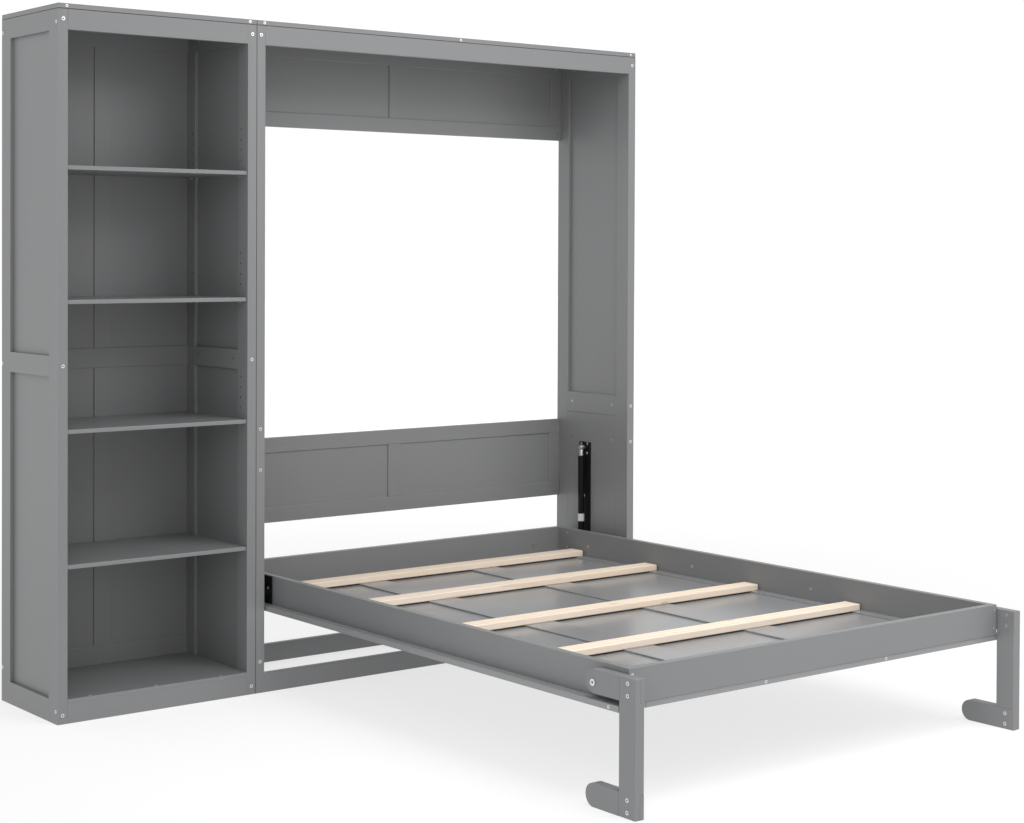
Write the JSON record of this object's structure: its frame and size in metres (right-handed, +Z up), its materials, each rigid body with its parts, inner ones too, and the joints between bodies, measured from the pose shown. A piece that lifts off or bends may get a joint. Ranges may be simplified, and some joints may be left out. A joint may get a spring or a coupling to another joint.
{
  "type": "murphy wall bed",
  "caption": "Fold-down wall bed in a tall cabinet with an attached open bookcase, a slatted panelled deck and hinged C-shaped legs at the foot.",
  "frame": {"origin": "middle of the floor area that the object covers with the bed down, on the floor", "axes": "+X to the right seen from the front, +Y towards the wall, +Z up; the bed folds out towards -Y"},
  "size_m": [2.222, 2.074, 2.07],
  "materials": {
    "grey_paint": "satin grey paint",
    "pine": "bare planed pine",
    "zinc_steel": "bright zinc plate",
    "black_steel": "black powder coat"
  },
  "bodies": {
    "root": {"bookcase_left_posts": "grey_paint", "bookcase_left_rails": "grey_paint", "bookcase_left_panels": "grey_paint", "bookcase_right_posts": "grey_paint", "bookcase_right_rails": "grey_paint", "bookcase_right_panels": "grey_paint", "bookcase_top": "grey_paint", "bookcase_fascia": "grey_paint", "bookcase_kick_rail": "grey_paint", "bookcase_bottom_board": "grey_paint", "shelf_1": "grey_paint", "shelf_2": "grey_paint", "shelf_3": "grey_paint", "shelf_4": "grey_paint", "shelf_pins": "zinc_steel", "bookcase_back_frame": "grey_paint", "bookcase_back_panels": "grey_paint", "cabinet_left_posts": "grey_paint", "cabinet_left_rails": "grey_paint", "cabinet_left_panel": "grey_paint", "cabinet_left_lower_board": "grey_paint", "cabinet_right_posts": "grey_paint", "cabinet_right_rails": "grey_paint", "cabinet_right_panel": "grey_paint", "cabinet_right_lower_board": "grey_paint", "cabinet_top": "grey_paint", "cabinet_fascia": "grey_paint", "front_bottom_rail": "grey_paint", "rear_bottom_rail": "grey_paint", "valance_frame": "grey_paint", "valance_panels": "grey_paint", "headboard_frame": "grey_paint", "headboard_panels": "grey_paint", "cabinet_bolts": "zinc_steel", "barrel_nuts": "zinc_steel", "cabinet_plates": "black_steel", "plate_screws": "zinc_steel", "pivot_pins": "zinc_steel", "upper_studs": "zinc_steel"},
    "bed": {"bed_side_rails": "grey_paint", "bed_foot_rail": "grey_paint", "bed_head_rail": "grey_paint", "deck_stiles": "grey_paint", "deck_rails": "grey_paint", "deck_panels": "grey_paint", "slats": "pine", "bed_arm_plates": "black_steel", "bed_screws": "zinc_steel", "leg_pivots": "zinc_steel"},
    "left_cylinder": {"left_gas_cylinder": "black_steel"},
    "left_rod": {"left_piston_rod": "zinc_steel"},
    "right_cylinder": {"right_gas_cylinder": "black_steel"},
    "right_rod": {"right_piston_rod": "zinc_steel"},
    "left_leg": {"left_leg_post": "grey_paint", "left_leg_arms": "grey_paint", "left_leg_bolts": "zinc_steel"},
    "right_leg": {"right_leg_post": "grey_paint", "right_leg_arms": "grey_paint", "right_leg_bolts": "zinc_steel"}
  },
  "joints": [
    {"name": "bed_fold", "type": "hinge", "parent": "root", "child": "bed", "pos_m": [0.329, 0.717, 0.295], "axis": [-1, 0, 0], "range_deg": [0, 89.3]},
    {"name": "left_spring_swing", "type": "hinge", "parent": "root", "child": "left_cylinder", "pos_m": [-0.4, 0.875, 0.65], "axis": [-1, 0, 0], "range_deg": [0, 12.81]},
    {"name": "left_rod_slide", "type": "slide", "parent": "left_cylinder", "child": "left_rod", "axis": [0, 0, -1], "range_m": [0, 0.2107]},
    {"name": "right_spring_swing", "type": "hinge", "parent": "root", "child": "right_cylinder", "pos_m": [1.058, 0.875, 0.65], "axis": [-1, 0, 0], "range_deg": [0, 12.81]},
    {"name": "right_rod_slide", "type": "slide", "parent": "right_cylinder", "child": "right_rod", "axis": [0, 0, -1], "range_m": [0, 0.2107]},
    {"name": "left_leg_fold", "type": "hinge", "parent": "bed", "child": "left_leg", "pos_m": [-0.399, -0.8815, 0.308], "axis": [-1, 0, 0], "range_deg": [0, 180]},
    {"name": "right_leg_fold", "type": "hinge", "parent": "bed", "child": "right_leg", "pos_m": [1.057, -0.8815, 0.308], "axis": [-1, 0, 0], "range_deg": [0, 180]}
  ],
  "couplings": [
    {"joint": "left_spring_swing", "follows": "bed_fold", "ratio": 0.1429},
    {"joint": "left_rod_slide", "follows": "bed_fold", "m_per_rad": 0.13505},
    {"joint": "right_spring_swing", "follows": "bed_fold", "ratio": 0.1429},
    {"joint": "right_rod_slide", "follows": "bed_fold", "m_per_rad": 0.13505},
    {"joint": "left_leg_fold", "follows": "bed_fold", "ratio": 2.0156},
    {"joint": "right_leg_fold", "follows": "bed_fold", "ratio": 2.0156}
  ]
}
